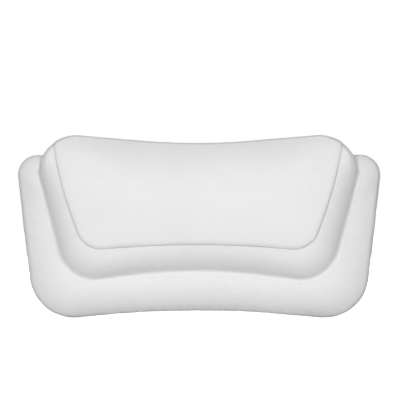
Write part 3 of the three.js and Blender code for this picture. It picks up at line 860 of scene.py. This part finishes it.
def section_shapes(inward, reach, border):
    """Insets and depths of the headrest's sections, one for each column, from the rear edge to the spine.
    Behind, a section is like the top's where it is free above the base; in front, where it faces upwards."""
    square = square_inwards(headrest_outline)
    top_share = evened(soft_step((-square[:, 1] - TOP_SHARE_START) / TOP_SHARE_RISE)) * free_share
    side_roll = np.clip(border * SIDE_ROLL_PER_BORDER, LEAST_ROLL, MOST_ROLL)
    roll = evened(between(side_roll, FOOT_ROLL, foot_share), reach=8)
    fillet = between(SIDE_FILLET, FOOT_FILLET, foot_share)
    face_tilt = between(FACE_TILT_AT_SIDE, FACE_TILT_AT_FOOT, foot_share)
    face_edge = HEADREST_DEPTH - (reach - roll) * np.tan(face_tilt) / 2
    stand_in = STAND_IN * (1 - free_share)
    foot_inset, foot_depth, foot_start = foot_section(roll, fillet, stand_in, face_edge, face_tilt)
    top_inset, top_depth = top_section()
    top_inset = top_inset / evened(np.sum(inward * square, axis=1))
    widest = BEHIND_STEPS - 1
    belly = between(foot_depth[widest], SHOULDER_BELLY, free_share)
    narrowing = (face_edge - belly) / (face_edge - foot_depth[widest])
    foot_depth[widest:] = face_edge - (face_edge - foot_depth[widest:]) * narrowing
    like_top = np.concatenate([np.tile(free_share, (widest, 1)), np.tile(top_share, (ARC_STEPS + 1, 1))])
    inset = foot_inset * (1 - like_top) + top_inset * like_top
    depth = foot_depth * (1 - like_top) + top_depth * like_top
    free_depth = depth[widest] * top_depth[:widest] / top_depth[widest]
    depth[:widest] = foot_depth[:widest] * (1 - free_share) + free_depth * free_share
    onward = np.linspace(0, 1, FRONT_STEPS + 1)[1:, None]
    inset = np.concatenate([inset, between(inset[-1], reach, onward)])
    depth = np.concatenate([depth, HEADREST_DEPTH - (HEADREST_DEPTH - depth[-1]) * (1 - onward) ** 2])
    start = foot_start * (1 - free_share)
    return inset, between(start, depth, fall_to_top(headrest_outline + inward * inset[..., None]))


def headrest_sections():
    """The headrest's skin as finely stepped sections. Also gives back the distances along them, where along
    them the seam lies, and which of them have a seam."""
    inward, reach = spine_way()
    border = border_width(inward)
    inset, depth = section_shapes(inward, reach, border)
    sections = placed(headrest_outline + inward * inset[..., None], HEADREST_BACK + depth)
    steps = np.linalg.norm(np.diff(sections, axis=0), axis=2)
    along = np.concatenate([np.zeros((1, COLUMNS)), np.cumsum(steps, axis=0)])
    front = slice(BEHIND_STEPS - 1, None)
    seam_at = [np.interp(border[i], inset[front, i], along[front, i]) for i in range(COLUMNS)]
    return sections, along, seam_at, border > 0


def headrest_grid():
    """Rows over the headrest's skin, close together beside the seam and at the rear edge. Row BORDER_ROWS
    lies on the seam. Also gives back which columns have a seam."""
    sections, along, seam_at, has_seam = headrest_sections()
    outer = soft_step(np.linspace(0, 1, BORDER_ROWS + 1))
    inner = np.linspace(0, 1, FACE_ROWS + 1)[1:] ** FACE_CROWDING
    grid = np.empty((BORDER_ROWS + 1 + FACE_ROWS, COLUMNS, 3))
    for column in range(COLUMNS):
        seam, end = seam_at[column], along[-1, column]
        places = np.concatenate([seam * outer, between(seam, end, inner)])
        for axis in range(3):
            grid[:, column, axis] = np.interp(places, along[:, column], sections[:, column, axis])
    return grid, has_seam


def seam_places(has_seam):
    """Rows and columns of the seam, from the left rear edge under the face to the right rear edge."""
    seamed = np.flatnonzero(has_seam)
    first, last = seamed[seamed > COLUMNS / 2].min(), seamed[seamed < COLUMNS / 2].max()
    rising = [(row, first) for row in range(BORDER_ROWS)]
    level = [(BORDER_ROWS, column % COLUMNS) for column in range(first, COLUMNS + last + 1)]
    falling = [(row, last) for row in reversed(range(BORDER_ROWS))]
    return np.array(rising + level + falling).T


def headrest_relief(points, apart, is_border, rear_edge):
    """How far points of the skins stand out: the face is proud of the border, and both are drawn in along
    the seam and a little uneven."""
    face_roll = between(FACE_ROLL_AT_SIDE, FACE_ROLL_AT_FOOT, np.resize(foot_share, len(points)))
    proud = np.where(is_border, 0, FACE_PROUD * soft_edge(apart, face_roll))
    sunk = SEAM_SINK * (1 - soft_edge(apart, SEAM_LIP))
    forward = np.clip((REAR_FACE - HEADREST_BACK - points[:, 1]) / HEADREST_DEPTH, 0, 1)
    seam_share = REAR_SEAM_SHARE + (1 - REAR_SEAM_SHARE) * forward**2
    folds = puckers(points, apart, height=0.12 * MM, reach=7 * MM, wavelength=13 * MM, seed=21)
    away_from_edge = soft_step(distance_to(points, rear_edge) / REAR_EDGE_CALM)
    lumps = 0.3 * MM * away_from_edge * waves(points, wavelength=110 * MM, seed=17)
    return (proud - sunk) * seam_share + folds + lumps


def make_headrest(vinyl, base):
    """The headrest's two skins, drawn in along the seam between them. Gives back the seam's points and ways
    out, and the skins' rear edge."""
    grid, has_seam = headrest_grid()
    rows = len(grid)
    normals = grid_normals(grid)
    near_spine = soft_step((np.arange(rows) - rows + SPINE_ROWS) / SPINE_ROWS)[:, None, None]
    normals = between(normals, np.array([0, -1, 0]), near_spine)
    places = tuple(seam_places(has_seam))
    is_border = np.zeros((rows, COLUMNS), dtype=bool)
    is_border[:BORDER_ROWS + 1] = has_seam
    is_border = is_border.reshape(-1)
    points = grid.reshape(-1, 3)
    apart = distance_to(points, grid[places])
    relief = headrest_relief(points, apart, is_border, grid[0])
    points = resting_on(base, points + normals.reshape(-1, 3) * relief[:, None])
    points[:COLUMNS, 1] += HEM_DEPTH * (1 - free_share)
    # Painted shade beside the seam, wider on the face than on the border.
    shade = SEAM_PAINTED_SHADE * np.exp(-apart / np.where(is_border, PAINTED_SHADE_ON_BORDER, PAINTED_SHADE_ON_FACE))

    hold = np.full((rows, COLUMNS), FOAM_HOLD)
    hold[:HELD_ROWS] = 1
    hold[-HELD_ROWS:] = 1
    hold[places] = 1
    hold = hold.reshape(-1)
    quad_on_border = np.zeros((rows - 1, COLUMNS), dtype=bool)
    quad_on_border[:BORDER_ROWS] = has_seam & np.roll(has_seam, -1)
    for name, keep in (("headrest_border", quad_on_border), ("headrest_face", ~quad_on_border)):
        faces = grid_faces(rows, COLUMNS, keep)
        piece = new_piece(name, points, faces, vinyl, seam=shade, hold=hold)
        weld(piece)
        settle(piece)
    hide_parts("headrest_border_strip")
    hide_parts("headrest_face_panel", "headrest_foam_core")
    points = points.reshape(grid.shape)
    return points[places], normals[places], points[0]


def make_welt(seam_path, outward, vinyl):
    """The filler cord at the bottom of the seam."""
    sides = 8
    along = np.gradient(seam_path, axis=0)
    along /= np.linalg.norm(along, axis=1)[:, None]
    across = np.cross(along, outward)
    across /= np.linalg.norm(across, axis=1)[:, None]
    centre = seam_path - outward * WELT_SINK
    turns = np.linspace(0, 2 * math.pi, sides, endpoint=False)
    rings = [
        centre + WELT_RADIUS * (across * math.cos(turn) + outward * math.sin(turn)) for turn in turns
    ]
    piece = grid_piece("headrest_welt", np.stack(rings, axis=1), vinyl)
    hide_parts("headrest_face_welt")


def make_headrest_back(rear_edge, backing):
    """The headrest's rear panel, sewn to the skins' rear edge."""
    outline = rear_edge[:, [0, 2]]
    shares = np.linspace(0, RINGS_END, UPPER_RINGS) ** UPPER_CROWDING
    flat, faces = rear_panel(outline, HEADREST_SPINE_HALF, HEADREST_SPINE, shares)
    apart = distance_to(flat, outline)
    edge_depth = REAR_FACE - rear_edge[:, 1]
    levelled = soft_step(shares / UPPER_LEVEL)[:, None]
    depth = between(edge_depth, HEADREST_BACK - FILLET_SINK, levelled)
    above_base = soft_step((flat[:, 1] - BASE_TOP + UPPER_FADE) / UPPER_FADE)
    fullness = UPPER_FULLNESS * above_base * soft_edge(apart, width=10 * MM)
    folds = puckers(flat, apart, height=0.25 * MM, reach=8 * MM, wavelength=12 * MM, seed=31)
    points = placed(flat, depth.reshape(-1) - fullness + above_base * folds)
    points[:COLUMNS] = rear_edge
    # Painted shade along the seam at the panel's edge.
    shade = UPPER_PAINTED_SHADE * np.exp(-apart / UPPER_PAINTED_SHADE_REACH)
    piece = new_piece("headrest_back", points, faces, backing, seam=shade)
    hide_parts("headrest_rear_panel")


# Suction sets

def cup_centres():
    """Middles of the suction cups as points (x, z)."""
    centres = []
    for number in range(1, CUPS + 1):
        low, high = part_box(f"eyelet_{number}")
        centres.append(((low.x + high.x) / 2, (low.z + high.z) / 2))
    return np.array(centres)


def rounded_path(*corners, steps=7):
    """Points (radius, y) of an open path with rounded corners, each with its reach in millimetres."""
    points = [np.array(corner[:2]) for corner in corners]
    curves = [points[0][None]]
    for i in range(1, len(corners) - 1):
        curves.append(corner_curve(points[i - 1], points[i], points[i + 1], corners[i][2] * MM, steps))
    curves.append(points[-1][None])
    return np.concatenate(curves)


def bend(start, control, end, steps=24):
    """Points of a curve that leaves its start and reaches its end towards one control point."""
    share = np.linspace(0, 1, steps)[:, None]
    start, control, end = (np.array(point) for point in (start, control, end))
    return (1 - share) ** 2 * start + 2 * share * (1 - share) * control + share**2 * end


def turned(name, profile, centre, material, body, sides=72):
    """A round piece about the line along y through a centre (x, z), from profile points (radius, y)."""
    turns = np.linspace(0, 2 * math.pi, sides, endpoint=False)
    x = centre[0] + profile[:, :1] * np.cos(turns)
    z = centre[1] + profile[:, :1] * np.sin(turns)
    y = np.broadcast_to(profile[:, 1:], x.shape)
    return grid_piece(name, np.stack([x, y, z], axis=-1), material, body, crisp=50)


def make_eyelet(number, centre, nylon):
    """A flanged ring with a dished front and a rolled lip behind the panel."""
    dish = 0.35 * MM
    ring = 1.4 * MM
    slope = 0.6 * MM
    profile = rounded_path(
        (BORE_RADIUS, FLANGE_BACK, 0),
        (BORE_RADIUS, FLANGE_FACE, 0.5),
        (BORE_RADIUS + ring, FLANGE_FACE, 0.4),
        (BORE_RADIUS + ring + slope, FLANGE_FACE - dish, 0.3),
        (FLANGE_RADIUS - ring - slope, FLANGE_FACE - dish, 0.3),
        (FLANGE_RADIUS - ring, FLANGE_FACE, 0.4),
        (FLANGE_RADIUS, FLANGE_FACE, 0.5),
        (FLANGE_RADIUS, FLANGE_BACK, 0.2),
        (BARREL_RADIUS, FLANGE_BACK, 0.2),
        (BARREL_RADIUS, LIP_NEAR, 0.2),
        (LIP_RADIUS, LIP_NEAR, 0.3),
        (LIP_RADIUS, LIP_FAR, 0.3),
        (BORE_RADIUS, LIP_FAR, 0.4),
        (BORE_RADIUS, FLANGE_BACK, 0),
    )
    piece = turned(f"eyelet_ring_{number}", profile, centre, nylon, "pillow")
    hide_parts(f"eyelet_{number}")


def make_stud(number, centre, nylon):
    """A headed pin with a barbed end."""
    profile = rounded_path(
        (0, STUD_HEAD_FAR, 0),
        (STUD_HEAD_RADIUS, STUD_HEAD_FAR, 0.8),
        (STUD_HEAD_RADIUS, STUD_HEAD_NEAR, 0.5),
        (STUD_RADIUS, STUD_HEAD_NEAR, 0.3),
        (STUD_RADIUS, BARB_START, 0.1),
        (BARB_RADIUS, BARB_START, 0.2),
        (STUD_RADIUS, STUD_END, 0.4),
        (0, STUD_END, 0),
    )
    piece = turned(f"stud_pin_{number}", profile, centre, nylon, f"stud_{number}")
    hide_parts(f"cup_stud_{number}")


def tab_grid(centre):
    """Grid of points over the release tab, a rounded tongue with grip ridges below the rim."""
    rows, columns = 64, 17
    half = TAB_WIDTH / 2
    foot = -CUP_RADIUS - TAB_LENGTH
    along = np.linspace(-CUP_RADIUS + CUP_RIM_WIDTH, foot, rows)
    rounding = np.clip(foot + half - along, 0, half)
    width = np.sqrt(half**2 - rounding**2)
    ridges = sum(np.exp(-(((along - foot - place) / RIDGE_WIDTH) ** 2)) for place in RIDGES)
    across = np.sin(np.linspace(-math.pi / 2, math.pi / 2, columns))
    thickness = (1 - across**8) ** 0.5
    tip = 0.3 * half
    taper = np.minimum(1, width[:, None] / tip)
    middle = TAB_THICKNESS / 2 - CUP_LIP
    sheets = []
    for side in (-1, 1):
        swell = TAB_THICKNESS / 2 + (RIDGE_HEIGHT * ridges[:, None] if side < 0 else 0)
        level = middle + side * swell * thickness * taper
        x = centre[0] + width[:, None] * across
        z = centre[1] + np.broadcast_to(along[:, None], x.shape)
        sheets.append(np.stack([x, np.broadcast_to(level, x.shape), z], axis=-1))
    return np.concatenate([sheets[0], sheets[1][:, ::-1]], axis=1)


def make_cup(number, centre, plastic):
    """A hollow bell with a grooved neck, and its release tab."""
    groove_depth = 0.6 * MM
    groove_slope = 0.5 * MM
    groove_start = -CUP_HEIGHT + 1.9 * MM
    groove_end = groove_start + 2 * MM
    lip_start = (CUP_RADIUS - 0.6 * MM, -CUP_LIP - 0.1 * MM)
    bevel = (CUP_RADIUS - CUP_RIM_WIDTH - CUP_BEVEL_WIDTH, -CUP_BEVEL_DEPTH)
    socket = rounded_path(
        (0, SOCKET_END, 0),
        (BARB_RADIUS + GAP, SOCKET_END, 0.3),
        (BARB_RADIUS + GAP, BARB_START - GAP, 0.2),
        (STUD_RADIUS + GAP, BARB_START - GAP, 0.2),
        (STUD_RADIUS + GAP, -CUP_HEIGHT, 0.4),
        (CUP_NECK_RADIUS, -CUP_HEIGHT, 1),
        (CUP_NECK_RADIUS, groove_start, 0.3),
        (CUP_NECK_RADIUS - groove_depth, groove_start + groove_slope, 0.3),
        (CUP_NECK_RADIUS - groove_depth, groove_end - groove_slope, 0.3),
        (CUP_NECK_RADIUS, groove_end, 0.3),
        (CUP_NECK_RADIUS, CUP_NECK_FOOT, 0),
    )
    bell = bend((CUP_NECK_RADIUS, CUP_NECK_FOOT), (CUP_NECK_RADIUS, -CUP_HOLLOW), (CUP_RADIUS, -CUP_LIP))
    rim = rounded_path(
        (*lip_start, 0),
        (CUP_RADIUS, -CUP_LIP, 0.3),
        (CUP_RADIUS, 0, 0.5),
        (CUP_RADIUS - CUP_RIM_WIDTH, 0, 0.5),
        (*bevel, 0),
    )
    hollow = bend(bevel, (CUP_RADIUS / 2, -CUP_HOLLOW), (0, -CUP_HOLLOW))
    profile = np.concatenate([socket, bell[1:-1], rim, hollow[1:]])
    piece = turned(f"cup_bell_{number}", profile, centre, plastic, f"cup_{number}")
    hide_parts(f"suction_cup_{number}")
    tab = grid_piece(f"cup_tab_{number}", tab_grid(centre), plastic, f"cup_{number}", crisp=60)


# Stage, light and camera

def make_floor():
    """A wide pale floor that looks white to the camera and keeps the object's shadow."""
    material, tree, surface = new_material("pale_floor")
    away = new_node(tree, "VectorMath", "Value", {0: place_on(tree)}, operation="LENGTH")
    glow = ranged(tree, away, low=0.80, high=1.0)
    seen = new_node(tree, "LightPath", "Is Camera Ray", {})
    look = {
        "Base Color": (0.5, 0.5, 0.5, 1),
        "Roughness": 0.9,
        "Specular IOR Level": 0.1,
        "Emission Color": (1, 1, 1, 1),
        "Emission Strength": new_node(tree, "Math", "Value", {0: glow, 1: seen}, operation="MULTIPLY"),
    }
    feed(tree, surface, look)
    half = 6.0
    gap = 0.4 * MM
    level = cad_box[0].z - gap
    corners = [(half * x, half * y, level) for x, y in ((-1, -1), (1, -1), (1, 1), (-1, 1))]
    mesh = bpy.data.meshes.new("floor")
    mesh.from_pydata(corners, [], [(0, 1, 2, 3)])
    mesh.materials.append(material)
    floor = new_object("floor", mesh)


def make_world():
    """A dim even light all round, which itself looks white, also mirrored or through clear plastic."""
    world = bpy.data.worlds.new("studio")
    bpy.context.scene.world = world
    world.use_nodes = True
    tree = world.node_tree
    seen = new_node(tree, "LightPath", "Is Camera Ray", {})
    for kind in ("Is Glossy Ray", "Is Transmission Ray"):
        either = {0: seen, 1: new_node(tree, "LightPath", kind, {})}
        seen = new_node(tree, "Math", "Value", either, operation="MAXIMUM")
    strength = ranged(tree, seen, low=0.30, high=1.0)
    feed(tree, tree.nodes["Background"], {"Color": (1, 1, 1, 1), "Strength": strength})


def make_lamp(name, azimuth, elevation, size, power):
    """A soft lamp of a width and height, aimed at the object from an azimuth and elevation in degrees."""
    distance = 2.6
    lamp = bpy.data.lights.new(name, "AREA")
    lamp.shape = "RECTANGLE"
    lamp.size, lamp.size_y = size
    lamp.energy = power
    turn, lift = math.radians(azimuth), math.radians(elevation)
    back = Vector((math.sin(turn) * math.cos(lift), -math.cos(turn) * math.cos(lift), math.sin(lift)))
    holder = new_object(name, lamp)
    holder.location = cad_middle + back * distance
    holder.rotation_euler = (-back).to_track_quat("-Z", "Y").to_euler()


def make_camera():
    """Far away with a long lens, level, and turned a little about a point in the headrest."""
    camera = bpy.data.cameras.new("camera")
    camera.lens = 200
    camera.sensor_width = 36
    distance = 2.338
    turn = math.radians(1.67)
    aside = 1.5 * MM
    aim_y = -35 * MM
    height = 36 * MM
    holder = new_object("camera", camera)
    holder.location = (
        distance * math.sin(turn) + aside * math.cos(turn),
        aim_y - distance * math.cos(turn) + aside * math.sin(turn),
        height,
    )
    holder.rotation_euler = (math.pi / 2, 0, turn)
    bpy.context.scene.camera = holder


# The whole scene

white_vinyl = vinyl_material("white_vinyl", dark=0.54, light=0.84)
piping_vinyl = vinyl_material("piping_vinyl", dark=0.60, light=0.80)
backing_vinyl = vinyl_material("backing_vinyl", dark=0.60, light=0.78, grain=0.6)
nylon = nylon_material()
clear_plastic = cup_material()

centres = cup_centres()
base = make_base(white_vinyl)
make_piping(piping_vinyl)
make_base_back(backing_vinyl, centres)
seam_path, seam_outward, rear_edge = make_headrest(white_vinyl, base)
make_welt(seam_path, seam_outward, piping_vinyl)
make_headrest_back(rear_edge, backing_vinyl)
for number, centre in enumerate(centres, start=1):
    make_eyelet(number, centre, nylon)
    make_stud(number, centre, nylon)
    make_cup(number, centre, clear_plastic)
    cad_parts[f"eyelet_washer_{number}"].material_slots[0].material = nylon

make_floor()
make_world()
make_lamp("key", azimuth=-1, elevation=0, size=(1.3, 0.16), power=50)
make_lamp("back", azimuth=180, elevation=10, size=(1.0, 1.0), power=46)
make_camera()

bpy.context.scene.view_settings.view_transform = "Standard"
